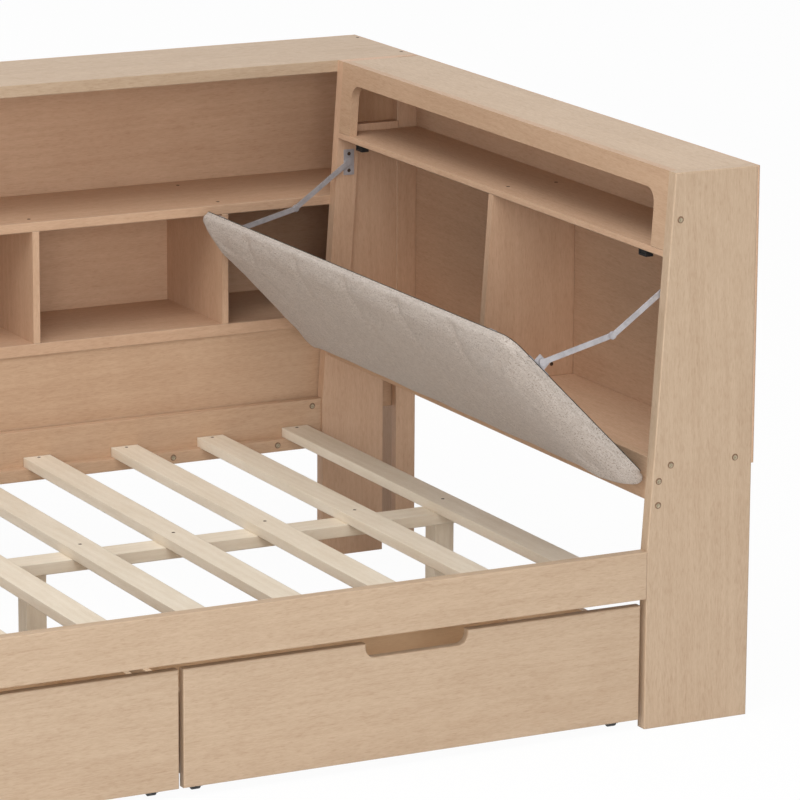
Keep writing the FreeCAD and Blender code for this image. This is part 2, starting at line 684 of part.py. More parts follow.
def makeCatches():
    catches = []
    strikes = []
    underside = "(nicheFloor - nicheShelfThick)"
    front = f"({slant(underside)} + catchSetback)"
    for side in ("near", "far"):
        band = mirrored(side, "catchEndGap", "(catchEndGap + catchWidth)")
        case = block(f"{side}_catch_case", (front, f"{front} + catchDepth"), band,
                     (f"{underside} - catchHeight", underside))
        mouth = block(f"{side}_catch_mouth", (front, f"{front} + catchJaw"),
                      (f"{band[0]} + catchJaw", f"{band[1]} - catchJaw"),
                      (f"{underside} - catchHeight + catchJaw", f"{underside} - catchJaw"))
        catches.append(cut(f"{side}_catch", case, mouth))
        strike = block(f"{side}_strike", ("0", "leafThick"), band, ("0", "strikeHeight"))
        tilt(strike, band[0], z="flapLength - strikeTopGap - strikeHeight")
        strikes.append(strike)
    group("flap_catches", catches)
    group("catch_strikes", strikes)


makeEndPanels()
makeHeadboard()
makeBookcase()
makeBedBase()
drawerRight = f"({xHead} - drawerHeadGap - drawerWidth)"
makeDrawer("right", drawerRight)
makeDrawer("left", f"({drawerRight} - drawerGap - drawerWidth)")
makeFlap()
makeHinges()
makeStays()
makeCatches()
document.recompute()

for feature in document.Objects:
    if {"Invalid", "Error"} & set(feature.State):
        raise RuntimeError(f"{feature.Label} failed: {feature.State}")
for part in subParts:
    if part.Shape.isNull() or not part.Shape.isValid():
        raise RuntimeError(f"{part.Label} has no valid shape")

os.makedirs("parts", exist_ok=True)
for part in subParts:
    part.Shape.exportStep(f"parts/{part.Label}.step")
print(f"{len(subParts)} sub-parts written")
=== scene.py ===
import json
import math

import bpy
import numpy as np
from mathutils import Matrix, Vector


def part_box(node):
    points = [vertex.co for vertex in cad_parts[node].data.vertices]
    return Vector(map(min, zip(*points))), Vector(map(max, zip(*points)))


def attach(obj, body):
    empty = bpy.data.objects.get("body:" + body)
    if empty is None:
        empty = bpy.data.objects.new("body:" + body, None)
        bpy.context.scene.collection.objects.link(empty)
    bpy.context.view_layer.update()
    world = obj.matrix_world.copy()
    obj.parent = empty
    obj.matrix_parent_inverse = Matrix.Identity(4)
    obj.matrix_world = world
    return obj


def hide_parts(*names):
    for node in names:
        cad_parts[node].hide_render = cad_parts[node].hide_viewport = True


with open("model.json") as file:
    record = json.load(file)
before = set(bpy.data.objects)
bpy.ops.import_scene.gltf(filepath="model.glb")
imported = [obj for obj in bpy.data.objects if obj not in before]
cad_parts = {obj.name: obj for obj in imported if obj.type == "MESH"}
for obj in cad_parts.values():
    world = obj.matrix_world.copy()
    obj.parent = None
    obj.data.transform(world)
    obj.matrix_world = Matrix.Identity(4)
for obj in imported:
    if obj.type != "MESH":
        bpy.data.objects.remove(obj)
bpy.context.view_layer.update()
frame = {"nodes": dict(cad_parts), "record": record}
nodes = frame["nodes"]
print("frame loaded:", len(nodes), "pieces")

# Shared helpers

white = (1.0, 1.0, 1.0, 1.0)
even = (1.0, 1.0, 1.0)


def linear(red, green, blue):
    # colour written as 0 to 255 screen values, turned into linear light by the screen's own curve
    values = np.array([red, green, blue]) / 255
    steps = np.where(values <= 0.04045, values / 12.92, ((values + 0.055) / 1.055) ** 2.4)
    return (*steps.tolist(), 1.0)


def addNode(tree, kind, inputs=None, **settings):
    # a node with its settings; each input is a value or the socket that feeds it
    node = tree.nodes.new(kind)
    for name, value in settings.items():
        setattr(node, name, value)
    for key, value in (inputs or {}).items():
        if isinstance(value, bpy.types.NodeSocket):
            tree.links.new(value, node.inputs[key])
        else:
            node.inputs[key].default_value = value
    return node


def mathNode(tree, operation, *values):
    # one sum on numbers, its values in order
    inputs = dict(enumerate(values))
    return addNode(tree, "ShaderNodeMath", inputs, operation=operation).outputs[0]


def vectorNode(tree, operation, *values):
    # one sum on vectors, its values in order
    inputs = dict(enumerate(values))
    return addNode(tree, "ShaderNodeVectorMath", inputs, operation=operation).outputs[0]


def noiseNode(tree, vector, stretch, scale, detail, roughness=0.55):
    # noise drawn out along the axes whose stretch is small
    drawn = vectorNode(tree, "MULTIPLY", vector, stretch)
    return addNode(tree, "ShaderNodeTexNoise", {
        "Vector": drawn, "Scale": scale, "Detail": detail, "Roughness": roughness}).outputs["Fac"]


def mixColor(tree, factor, first, second):
    # the first colour where the factor is 0 and the second where it is 1
    colorSockets = {0: factor, 6: first, 7: second}
    return addNode(tree, "ShaderNodeMix", colorSockets, data_type="RGBA").outputs[2]


def rangeNode(tree, value, low, high, smooth=True):
    # 0 below low, 1 above high
    kind = "SMOOTHSTEP" if smooth else "LINEAR"
    return addNode(tree, "ShaderNodeMapRange", {"Value": value, "From Min": low, "From Max": high},
                   interpolation_type=kind).outputs[0]


def maskNode(tree, vector, stretch, scale, detail, roughness, low, high):
    # noise that counts for nothing below low and in full above high
    return rangeNode(tree, noiseNode(tree, vector, stretch, scale, detail, roughness), low, high)


def newGroup(name, inputs, outputs):
    # an empty node group with named sockets
    group = bpy.data.node_groups.new(name, "ShaderNodeTree")
    for direction, sockets in (("INPUT", inputs), ("OUTPUT", outputs)):
        for label, kind in sockets:
            group.interface.new_socket(label, in_out=direction, socket_type=f"NodeSocket{kind}")
    start = addNode(group, "NodeGroupInput")
    end = addNode(group, "NodeGroupOutput")
    return group, start.outputs, end.inputs


def newMaterial(name):
    # a material, its node tree and its surface shader
    material = bpy.data.materials.new(name)
    material.use_nodes = True
    return material, material.node_tree, material.node_tree.nodes["Principled BSDF"]


def newObject(name, data):
    # an object at the origin, in the scene
    piece = bpy.data.objects.new(name, data)
    bpy.context.scene.collection.objects.link(piece)
    return piece


def gridFaces(rows, columns):
    # quads of a grid of points stored row by row, whose last column joins the first
    row = np.arange(rows - 1)[:, None] * columns
    column = np.arange(columns)[None, :]
    following = (column + 1) % columns
    above = row + columns
    quads = np.stack([row + column, row + following, above + following, above + column], axis=-1)
    return quads.reshape(-1, 4)


def smoothFaces(mesh):
    mesh.polygons.foreach_set("use_smooth", np.ones(len(mesh.polygons), dtype=bool))


def addPiece(name, points, faces, material, body):
    # a smooth mesh that rides a body and takes one material
    mesh = bpy.data.meshes.new(name)
    mesh.from_pydata(points.tolist(), [], [list(face) for face in faces])
    smoothFaces(mesh)
    mesh.materials.append(material)
    mesh.update()
    piece = newObject(name, mesh)
    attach(piece, body)
    return piece


def dressNode(name, material):
    # one material in every slot of a node's own mesh
    slots = nodes[name].data.materials
    for index in range(max(1, len(slots))):
        if index < len(slots):
            slots[index] = material
        else:
            slots.append(material)


# Wood

# each look's edge tone is a painted highlight laid along the board's eased edges
veneer = {
    "light": linear(200, 176, 150),
    "dark": linear(166, 137, 110),
    "figure": 0.07,
    "fibre": 0.30,
    "fleck": 0.18,
    "streak": 0.12,
    "cloud": 0.16,
    "edge": linear(202, 178, 152),
    "specular": 0.30,
}
# the veneer again, tinted warmer and redder for the boards inside the bookcase and headboard: painted warm
# bounce shade
bounceShadeVeneer = {
    "light": linear(210, 176, 147),
    "dark": linear(176, 137, 108),
    "figure": 0.07,
    "fibre": 0.28,
    "fleck": 0.16,
    "streak": 0.12,
    "cloud": 0.16,
    "edge": linear(200, 176, 151),
    "specular": 0.25,
}
# a still warmer copy for the far end panel inside the cupboard: painted warm shade
stileShadeVeneer = dict(bounceShadeVeneer, light=linear(213, 179, 150), dark=linear(181, 141, 112))
# a darker warm copy for boards turned from the light or set under others: painted shade
sideShadeVeneer = dict(
    bounceShadeVeneer, light=linear(202, 170, 141), dark=linear(168, 132, 103), edge=linear(204, 173, 146))
slatTimber = {
    "light": linear(237, 226, 208),
    "dark": linear(211, 194, 169),
    "figure": 0.14,
    "fibre": 0.18,
    "fleck": 0.05,
    "streak": 0.14,
    "cloud": 0.24,
    "edge": linear(236, 226, 209),
    "specular": 0.25,
}
drawerBoard = {
    "light": linear(228, 204, 174),
    "dark": linear(206, 174, 141),
    "figure": 0.10,
    "fibre": 0.24,
    "fleck": 0.10,
    "streak": 0.20,
    "cloud": 0.25,
    "edge": linear(228, 206, 178),
    "specular": 0.25,
}
grain = {
    "ringScale": 24.0,
    "ringDistortion": 1.6,
    "ringDetail": 1.4,
    "slowStretch": (1.4, 5.0, 5.0),
    "warp": 0.035,
    "roughLow": 0.42,
    "roughSpread": 0.16,
    "relief": 0.00008,
    "easedWidth": 0.0016,
    "easedDrop": -0.5,                  # share of the eased width by which an edge falls away
    # how far the painted edge highlight takes the place of the grain
    "edgeShare": 0.6,
    "logDepth": 0.075,
    "logLean": 1.3,
    "cutSteps": (0.618, 0.755, 0.570),  # how far the cut moves on from one board to the next
    "cutStart": 0.3,
    "cutSpread": (4.0, 0.12, 0.06),
    "turnSpread": 3.0,
    "toneSpread": 0.05,
}
# stretch along the grain, scale, detail, roughness, and where the mask starts and ends
grainLayers = {
    "Fibre": (0.12, 480.0, 4.0, 0.65, 0.30, 0.72),
    "Fleck": (0.16, 360.0, 2.0, 0.55, 0.54, 0.68),
    "Streak": (0.02, 60.0, 3.0, 0.55, 0.30, 0.70),
    "Cloud": (0.4, 22.0, 4.0, 0.55, 0.25, 0.75),
}


def buildGrain():
    # growth rings about the grain axis, warped by slow noise, with fibres, flecks, long streaks and clouds;
    # each counts by its share, and the sum blends the light tone into the dark one
    group, source, result = newGroup(
        "woodGrain",
        [("Vector", "Vector"), ("Light", "Color"), ("Dark", "Color"), ("Figure", "Float"), ("Fibre", "Float"),
         ("Fleck", "Float"), ("Streak", "Float"), ("Cloud", "Float"), ("Tone", "Float")],
        [("Color", "Color"), ("Roughness", "Float"), ("Height", "Float")])
    vector = source["Vector"]
    stretched = vectorNode(group, "MULTIPLY", vector, grain["slowStretch"])
    slow = addNode(group, "ShaderNodeTexNoise", {"Vector": stretched, "Scale": 1.0, "Detail": 2.0})
    shift = vectorNode(group, "SUBTRACT", slow.outputs["Color"], (0.5, 0.5, 0.5))
    sideways = vectorNode(group, "MULTIPLY", shift, (0.0, grain["warp"], grain["warp"]))
    rings = addNode(group, "ShaderNodeTexWave", {
        "Vector": vectorNode(group, "ADD", vector, sideways), "Scale": grain["ringScale"],
        "Distortion": grain["ringDistortion"], "Detail": 2.0, "Detail Scale": grain["ringDetail"]},
        wave_type="RINGS", rings_direction="X").outputs["Fac"]
    depth = mathNode(group, "MULTIPLY", rings, source["Figure"])
    masks = {}
    for name, (stretch, *layer) in grainLayers.items():
        masks[name] = maskNode(group, vector, (stretch, 1.0, 1.0), *layer)
        depth = mathNode(group, "ADD", depth, mathNode(group, "MULTIPLY", masks[name], source[name]))
    share = rangeNode(group, depth, 0.0, 1.0, smooth=False)
    blended = mixColor(group, share, source["Light"], source["Dark"])
    toned = addNode(group, "ShaderNodeVectorMath", {0: blended, "Scale": source["Tone"]}, operation="SCALE")
    rough = mathNode(group, "MULTIPLY_ADD", masks["Fibre"], grain["roughSpread"], grain["roughLow"])
    height = mathNode(group, "MULTIPLY", masks["Fibre"], -grain["relief"])
    for name, socket in (("Color", toned.outputs[0]), ("Roughness", rough), ("Height", height)):
        group.links.new(socket, result[name])
    return group


def buildEasedEdgeAndHighlight():
    # distance to the nearest edge of a box is the middle one of the three distances to its faces; the mask
    # rounds the edge by bump and also lays the painted edge highlight
    group, source, result = newGroup(
        "easedEdgeAndHighlight", [("Vector", "Vector"), ("Low", "Vector"), ("High", "Vector"), ("Width", "Float")],
        [("Mask", "Float"), ("Height", "Float")])
    below = vectorNode(group, "SUBTRACT", source["Vector"], source["Low"])
    above = vectorNode(group, "SUBTRACT", source["High"], source["Vector"])
    reach = vectorNode(group, "MINIMUM", below, above)
    x, y, z = addNode(group, "ShaderNodeSeparateXYZ", {0: reach}).outputs
    low = mathNode(group, "MINIMUM", x, y)
    high = mathNode(group, "MAXIMUM", x, y)
    middle = mathNode(group, "MAXIMUM", low, mathNode(group, "MINIMUM", high, z))
    share = mathNode(group, "DIVIDE", middle, source["Width"])
    inside = mathNode(group, "SUBTRACT", 1.0, addNode(group, "ShaderNodeClamp", {0: share}).outputs[0])
    mask = mathNode(group, "MULTIPLY", inside, inside)
    drop = mathNode(group, "MULTIPLY", source["Width"], grain["easedDrop"])
    group.links.new(mask, result["Mask"])
    group.links.new(mathNode(group, "MULTIPLY", mask, drop), result["Height"])
    return group


woodGrain = buildGrain()
easedEdgeAndHighlight = buildEasedEdgeAndHighlight()
grainTurns = {"X": (0.0, 0.0, 0.0), "Y": (0.0, 0.0, -90.0), "Z": (0.0, 90.0, 0.0)}


def woodMaterial(name, index, axis, look):
    # each board is cut from its own log: the log's axis runs along the grain, a little behind the board and
    # beside it, and the board's edges are eased, with a painted highlight along them
    material, tree, shader = newMaterial(f"{name}Wood")
    low, high = (np.array(corner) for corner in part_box(name))
    spread = np.modf(index * np.array(grain["cutSteps"]) + grain["cutStart"])[0] - 0.5
    coordinates = addNode(tree, "ShaderNodeTexCoord").outputs["Object"]
    centred = vectorNode(tree, "SUBTRACT", coordinates, ((low + high) / 2).tolist())
    turn = [math.radians(angle) for angle in grainTurns[axis]]
    turned = addNode(tree, "ShaderNodeMapping", {"Vector": centred, "Rotation": turn}).outputs[0]
    lean = math.radians(grain["logLean"])
    offset = spread * grain["cutSpread"] + np.array([0.0, grain["logDepth"], grain["logDepth"]])
    cut = addNode(tree, "ShaderNodeMapping", {
        "Vector": turned, "Location": offset.tolist(),
        "Rotation": (0.0, lean, lean * spread[0] * grain["turnSpread"])}).outputs[0]
    pattern = addNode(tree, "ShaderNodeGroup", node_tree=woodGrain)
    for key in ("light", "dark", "figure", "fibre", "fleck", "streak", "cloud"):
        pattern.inputs[key.capitalize()].default_value = look[key]
    pattern.inputs["Tone"].default_value = 1 + grain["toneSpread"] * spread[1]
    tree.links.new(cut, pattern.inputs["Vector"])
    eased = addNode(tree, "ShaderNodeGroup", {
        "Vector": coordinates, "Low": low.tolist(), "High": high.tolist(), "Width": grain["easedWidth"]},
        node_tree=easedEdgeAndHighlight)
    # the edge tone along the eased edges is a painted highlight
    edgeShare = mathNode(tree, "MULTIPLY", eased.outputs["Mask"], grain["edgeShare"])
    color = mixColor(tree, edgeShare, pattern.outputs["Color"], look["edge"])
    height = mathNode(tree, "ADD", pattern.outputs["Height"], eased.outputs["Height"])
    bump = addNode(tree, "ShaderNodeBump", {"Height": height, "Strength": 1.0, "Distance": 1.0})
    tree.links.new(color, shader.inputs["Base Color"])
    tree.links.new(pattern.outputs["Roughness"], shader.inputs["Roughness"])
    tree.links.new(bump.outputs[0], shader.inputs["Normal"])
    shader.inputs["Specular IOR Level"].default_value = look["specular"]
    return material


# boards of each look, by the axis that their grain follows; the warmer copies of the veneer are painted shade
slats = [name for name in nodes if name.startswith("slat_")]
boardGroups = (
    (veneer, {
        "X": ["bookcase_top", "front_rail", "front_cleat", "right_drawer_front", "left_drawer_front"],
        "Y": ["headboard_top", "foot_panel"],
        "Z": ["near_end_panel", "bookcase_left_panel"],
    }),
    (sideShadeVeneer, {
        "X": ["bookcase_apron", "back_rail", "back_cleat"],
        "Y": ["headboard_fascia", "headboard_lower_rail"],
        "Z": ["bookcase_right_panel"],
    }),
    (bounceShadeVeneer, {
        "X": ["bookcase_middle_shelf", "bookcase_bottom_shelf", "bookcase_back_panel"],
        "Y": ["headboard_shelf", "headboard_bottom_shelf", "headboard_back_panel"],
        "Z": ["corner_post", "headboard_divider", "bookcase_dividers"],
    }),
    (stileShadeVeneer, {"Z": ["far_end_panel"]}),
    (drawerBoard, {
        "X": ["right_drawer_back", "left_drawer_back", "right_drawer_floor", "left_drawer_floor"],
        "Y": ["right_drawer_sides", "left_drawer_sides"],
    }),
    (slatTimber, {"X": ["centre_beam"], "Y": slats, "Z": ["centre_legs"]}),
)
woodCount = 0
for look, groups in boardGroups:
    for axis, names in groups.items():
        for name in names:
            woodCount += 1
            dressNode(name, woodMaterial(name, woodCount, axis, look))
print("boards dressed:", woodCount)

# Metal and plastic

steel = {"light": linear(178, 174, 176), "dark": linear(160, 156, 158), "metallic": 0.25, "rough": 0.42}
blackPlastic = {"light": linear(34, 34, 34), "dark": linear(18, 18, 18), "metallic": 0.0, "rough": 0.5}
boltSteel = {"light": linear(176, 162, 136), "dark": linear(140, 126, 102), "metallic": 0.2, "rough": 0.42}
# the seat ring's dark brown is painted shade of the hollow round each bolt head
recessShadeTone = {"light": linear(136, 106, 80), "dark": linear(110, 82, 60), "metallic": 0.1, "rough": 0.6}
# the screw heads' very dark brown is partly their own tone and partly painted shade of the countersunk holes
# they sit in
screwAndHoleShade = {"light": linear(84, 62, 46), "dark": linear(50, 35, 26), "metallic": 0.3, "rough": 0.55}
speckle = {
    "cloud": (4.0, 0.6, 0.35, 0.68),    # detail, roughness, and where the mask starts and ends
    "fineRatio": 9.0,
    "roughSpread": 0.14,
    "strength": 0.25,
    "relief": 0.00004,
}


def speckledMaterial(name, look, scale):
    # two tones by cloudy noise, with a fine grain that scatters the gloss
    material, tree, shader = newMaterial(name)
    coordinates = addNode(tree, "ShaderNodeTexCoord").outputs["Object"]
    mask = maskNode(tree, coordinates, even, scale, *speckle["cloud"])
    fine = noiseNode(tree, coordinates, even, scale * speckle["fineRatio"], 2.0)
    rough = mathNode(tree, "MULTIPLY_ADD", mask, speckle["roughSpread"], look["rough"])
    bump = addNode(tree, "ShaderNodeBump", {
        "Height": fine, "Strength": speckle["strength"], "Distance": speckle["relief"]})
    tree.links.new(mixColor(tree, mask, look["light"], look["dark"]), shader.inputs["Base Color"])
    tree.links.new(rough, shader.inputs["Roughness"])
    tree.links.new(bump.outputs[0], shader.inputs["Normal"])
    shader.inputs["Metallic"].default_value = look["metallic"]
    return material


steelFinish = speckledMaterial("zincSteel", steel, 60.0)
plasticFinish = speckledMaterial("blackPlastic", blackPlastic, 160.0)
wheelFinish = speckledMaterial("wheelPlastic", blackPlastic, 90.0)
boltFinish = speckledMaterial("boltZinc", boltSteel, 400.0)
recessShadeFinish = speckledMaterial("boltShadeRing", recessShadeTone, 400.0)
screwAndHoleShadeFinish = speckledMaterial("darkScrewAndHoleShade", screwAndHoleShade, 500.0)
for name in nodes:
    if name.startswith(("hinge_", "stay_", "catch_strikes")):
        dressNode(name, steelFinish)
    elif name.endswith("_wheels"):
        dressNode(name, wheelFinish)
    elif name.endswith("_casters") or name == "flap_catches":
        dressNode(name, plasticFinish)
print("metal and plastic dressed")

# Padded flap

pad = {
    "openAngle": 44.6,      # lean of the open flap from upright, degrees
    "foot": -0.014,
    "head": 0.4179,
    "back": 0.0015,         # the cover's back, just short of the lined back of the board
    "lipDepth": 0.012,
    "lipInset": 0.004,
    "depth": 0.0465,
    "reach": 0.046,
    "domeReach": 0.14,
    "fuller": 0.09,         # fuller at the foot and thinner at the head by this share
    "crown": 0.003,
    "headCorner": 0.032,
    "footCorner": 0.018,
    "cornerGrowth": 0.15,   # corners widen inwards by this share of the inset
    "shrink": 0.0015,
    "rows": 32,
    "columns": 160,
    "voxel": 0.0085,
    "frontOnset": 0.012,
    "liningEdge": -0.0015,
    "swell": {
        "pressure": 4.0,
        "quality": 4,
        "tension": 20,
        "bending": 1.5,
        "steps": 20,
        "cap": 0.005,
        "onset": 0.026,
    },
    "crease": {
        "count": 5,
        "depth": 0.0062,
        "width": 0.010,
        "valleyDepth": 0.0042,
        "valleyWidth": 0.034,
        "start": 0.022,     # deepest this far below the head
        "rise": 0.03,
        "length": 0.09,
        "wander": 0.006,
        "wanderAlong": 30.0,
        "wanderSide": 5.0,
        "turnStart": 0.05,
        "turnLength": 0.04,
        "turnLoss": 0.5,
        "turnPull": 0.8,
    },
    # waves in radians per metre, with their starts and shares
    "lump": {
        "height": 0.0008,
        "side": 17.0,
        "sway": 2.2,
        "swayAlong": 11.0,
        "along": 14.0,
        "alongStart": 1.3,
        "fineShare": 0.7,
        "fineSide": 31.0,
        "fineAlong": 23.0,
        "fineStart": 0.6,
    },
}
swell, crease, lump = pad["swell"], pad["crease"], pad["lump"]
linen = {
    "light": linear(199, 189, 180),
    "middle": linear(175, 163, 153),
    "dark": linear(120, 107, 97),
    "lining": linear(30, 29, 29),
    "thread": 0.0011,
    "slubScale": 520.0,
    "slubStretch": 0.10,
    "slubRange": (0.36, 0.62),
    "slubHeight": 1.2,
    "threadHeight": 0.5,
    # scale, detail, roughness, and where the mask starts and ends
    "speck": (330.0, 3.0, 0.7, 0.53, 0.66),
    "speckShare": 0.8,
    "cloud": (26.0, 4.0, 0.6, 0.40, 0.70),
    "cloudShare": 0.30,
    "rough": 0.92,
    "specular": 0.12,
    "sheen": 0.18,
    "sheenRough": 0.5,
    "strength": 0.7,
    "relief": 0.0004,
}
joints = frame["record"]["behaviour"]["joints"]
hinge = next(joint for joint in joints if joint["name"] == "flap_hinge")["pos_m"]
hingeLine = np.array([hinge[0], 0.0, hinge[2]])
openAngle = math.radians(pad["openAngle"])
flapAcross = np.array([math.cos(openAngle), 0.0, math.sin(openAngle)])
flapAlong = np.array([-math.sin(openAngle), 0.0, math.cos(openAngle)])
bedAcross = np.array([0.0, 1.0, 0.0])


def fromFlap(points):
    # flap frame (out of the flap's back, across the bed, up along the flap) to the part's frame
    across, side, along = points[:, 0:1], points[:, 1:2], points[:, 2:3]
    return hingeLine + across * flapAcross + side * bedAcross + along * flapAlong


def toFlap(points):
    # the part's frame to the flap frame, by the shares of the offset along the flap's own axes
    offset = points - hingeLine
    return np.stack([offset @ flapAcross, points[:, 1], offset @ flapAlong], axis=1)


def threadNode(tree, place, turns):
    # one round ridge per thread: the size of a sine
    return mathNode(tree, "ABSOLUTE", mathNode(tree, "SINE", mathNode(tree, "MULTIPLY", place, turns)))


def buildWeave():
    # warp and weft threads crossing, slubs drawn out both ways, and a heather of dark specks and soft clouds
    group, source, result = newGroup(
        "linenWeave",
        [("Vector", "Vector"), ("Light", "Color"), ("Middle", "Color"), ("Dark", "Color"),
         ("Thread", "Float")],
        [("Color", "Color"), ("Height", "Float")])
    vector = source["Vector"]
    stretch = linen["slubStretch"]
    y, z = addNode(group, "ShaderNodeSeparateXYZ", {0: vector}).outputs[1:]
    turns = mathNode(group, "DIVIDE", math.pi, source["Thread"])
    threads = mathNode(group, "MAXIMUM", threadNode(group, y, turns), threadNode(group, z, turns))
    slubAcross = noiseNode(group, vector, (1.0, stretch, 1.0), linen["slubScale"], 3.0)
    slubAlong = noiseNode(group, vector, (1.0, 1.0, stretch), linen["slubScale"], 3.0)
    slub = mathNode(group, "MULTIPLY", mathNode(group, "ADD", slubAcross, slubAlong), 0.5)
    speck = maskNode(group, vector, even, *linen["speck"])
    cloud = maskNode(group, vector, even, *linen["cloud"])
    base = mixColor(group, rangeNode(group, slub, *linen["slubRange"]), source["Light"], source["Middle"])
    heather = mixColor(group, mathNode(group, "MULTIPLY", speck, linen["speckShare"]), base, source["Dark"])
    cloudShare = mathNode(group, "MULTIPLY", cloud, linen["cloudShare"])
    group.links.new(mixColor(group, cloudShare, heather, source["Middle"]), result["Color"])
    raised = mathNode(group, "MULTIPLY", threads, linen["threadHeight"])
    group.links.new(mathNode(group, "MULTIPLY_ADD", slub, linen["slubHeight"], raised), result["Height"])
    return group


linenWeave = buildWeave()


def linenMaterial(name, lined):
    # linen in the flap's own frame; on the board a black lining covers the back inside a turned-over border
    material, tree, shader = newMaterial(name)
    coordinates = addNode(tree, "ShaderNodeTexCoord").outputs["Object"]
    moved = vectorNode(tree, "SUBTRACT", coordinates, hingeLine.tolist())
    leanBack = (0.0, openAngle, 0.0)
    flat = addNode(tree, "ShaderNodeMapping", {"Vector": moved, "Rotation": leanBack}).outputs[0]
    weave = addNode(tree, "ShaderNodeGroup", {"Vector": flat}, node_tree=linenWeave)
    for key in ("light", "middle", "dark", "thread"):
        weave.inputs[key.capitalize()].default_value = linen[key]
    color = weave.outputs["Color"]
    if lined:
        x = addNode(tree, "ShaderNodeSeparateXYZ", {0: flat}).outputs[0]
        mask = mathNode(tree, "GREATER_THAN", x, pad["liningEdge"])
        color = mixColor(tree, mask, color, linen["lining"])
    bump = addNode(tree, "ShaderNodeBump", {
        "Height": weave.outputs["Height"], "Strength": linen["strength"], "Distance": linen["relief"]})
    tree.links.new(color, shader.inputs["Base Color"])
    tree.links.new(bump.outputs[0], shader.inputs["Normal"])
    shader.inputs["Roughness"].default_value = linen["rough"]
    shader.inputs["Specular IOR Level"].default_value = linen["specular"]
    shader.inputs["Sheen Weight"].default_value = linen["sheen"]
    shader.inputs["Sheen Roughness"].default_value = linen["sheenRough"]
    return material


def padOutline(inset, count):
    # rounded rectangle: four quarter circles about the corner centres, joined by straight sides
    low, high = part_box("flap_pad")
    centreY, centreZ = (low.y + high.y) / 2, (pad["foot"] + pad["head"]) / 2
    halfY = (high.y - low.y) / 2 - pad["shrink"]
    halfZ = (pad["head"] - pad["foot"]) / 2 - pad["shrink"]
    angles = np.linspace(0, 2 * math.pi, count, endpoint=False) + math.pi / count
    signY = np.sign(np.cos(angles))
    signZ = np.sign(np.sin(angles))
    corner = np.where(signZ > 0, pad["headCorner"], pad["footCorner"]) + pad["cornerGrowth"] * inset
    y = centreY + signY * (halfY - inset - corner) + corner * np.cos(angles)
    z = centreZ + signZ * (halfZ - inset - corner) + corner * np.sin(angles)
    return y, z


def padProfile(count):
    # out from the back over a short lip to the widest line, round a quarter ellipse and on to a low crown
    lip = np.linspace(0, math.pi / 2, count // 4, endpoint=False)
    over = np.linspace(0, math.pi / 2, count // 2, endpoint=False)
    dome = np.linspace(0, 1, count // 4)
    lipDepth, reach = pad["lipDepth"], pad["reach"]
    rise = pad["depth"] - lipDepth
    inset = np.concatenate([
        pad["lipInset"] * (1 - np.sin(lip)),
        reach * (1 - np.cos(over)),
        reach + dome * pad["domeReach"]])
    depth = np.concatenate([
        lipDepth - (lipDepth - pad["back"]) * np.cos(lip),
        lipDepth + rise * np.sin(over),
        pad["depth"] + pad["crown"] * (1 - (1 - dome) ** 2)])
    return inset, depth


def padPoints(rows, columns):
    # the profile carried round the outline, fuller towards the foot, closed by a flat back and a flat middle
    rings = []
    for inset, depth in zip(*padProfile(rows)):
        y, z = padOutline(inset, columns)
        share = (z - pad["foot"]) / (pad["head"] - pad["foot"])
        x = -depth * (1 + pad["fuller"] * (1 - 2 * share))
        rings.append(np.stack([x, y, z], axis=1))
    faces = gridFaces(len(rings), columns).tolist()
    outline = np.arange(columns)
    faces.append(outline[::-1].tolist())
    faces.append((outline + (len(rings) - 1) * columns).tolist())
    return fromFlap(np.concatenate(rings)), faces


def modifyPiece(piece, kind, **settings):
    # a modifier named after its kind, with its settings
    modifier = piece.modifiers.new(kind.lower(), kind)
    for name, value in settings.items():
        setattr(modifier, name, value)
    return modifier


def applyAll(piece):
    # the mesh as its modifiers leave it takes the place of the plain one
    graph = bpy.context.evaluated_depsgraph_get()
    mesh = bpy.data.meshes.new_from_object(piece.evaluated_get(graph))
    piece.modifiers.clear()
    piece.data = mesh


def pointsOf(mesh):
    # one row of x, y and z per vertex
    points = np.empty(len(mesh.vertices) * 3)
    mesh.vertices.foreach_get("co", points)
    return points.reshape(-1, 3)


def setPoints(mesh, points):
    mesh.vertices.foreach_set("co", points.ravel())
    mesh.update()


def inflate(piece):
    # air pressure swells the cover while its back stays on the board; the move sets in softly past the lip
    # and goes no further than the cap
    before = pointsOf(piece.data)
    out = -toFlap(before)[:, 0]
    held = np.nonzero(out < pad["lipDepth"])[0]
    pins = piece.vertex_groups.new(name="back")
    pins.add(held.tolist(), 1.0, "REPLACE")
    cloth = modifyPiece(piece, "CLOTH").settings
    cloth.use_pressure = True
    cloth.uniform_pressure_force = swell["pressure"]
    cloth.effector_weights.gravity = 0
    cloth.vertex_group_mass = "back"
    cloth.quality = swell["quality"]
    cloth.tension_stiffness = swell["tension"]
    cloth.bending_stiffness = swell["bending"]
    scene = bpy.context.scene
    for step in range(swell["steps"]):
        scene.frame_set(step + 1)
    applyAll(piece)
    scene.frame_set(1)
    share = np.clip((out - pad["lipDepth"]) / swell["onset"], 0, 1)[:, None]
    moved = (pointsOf(piece.data) - before) * share ** 2 * (3 - 2 * share)
    distance = np.linalg.norm(moved, axis=1, keepdims=True)
    setPoints(piece.data, before + moved * (swell["cap"] / np.maximum(distance, swell["cap"])))
    most = float(np.minimum(distance, swell["cap"]).max())
    print("flap pad swelled by up to", round(most * 1000, 1), "mm")


def padLumps(side, along):
    # a slow wave across the flap that sways as it goes up, and a finer slanted one
    sway = lump["sway"] * np.sin(along * lump["swayAlong"])
    slow = np.sin(side * lump["side"] + sway) * np.cos(along * lump["along"] - lump["alongStart"])
    fine = np.sin(side * lump["fineSide"] - along * lump["fineAlong"] + lump["fineStart"])
    return slow + lump["fineShare"] * fine


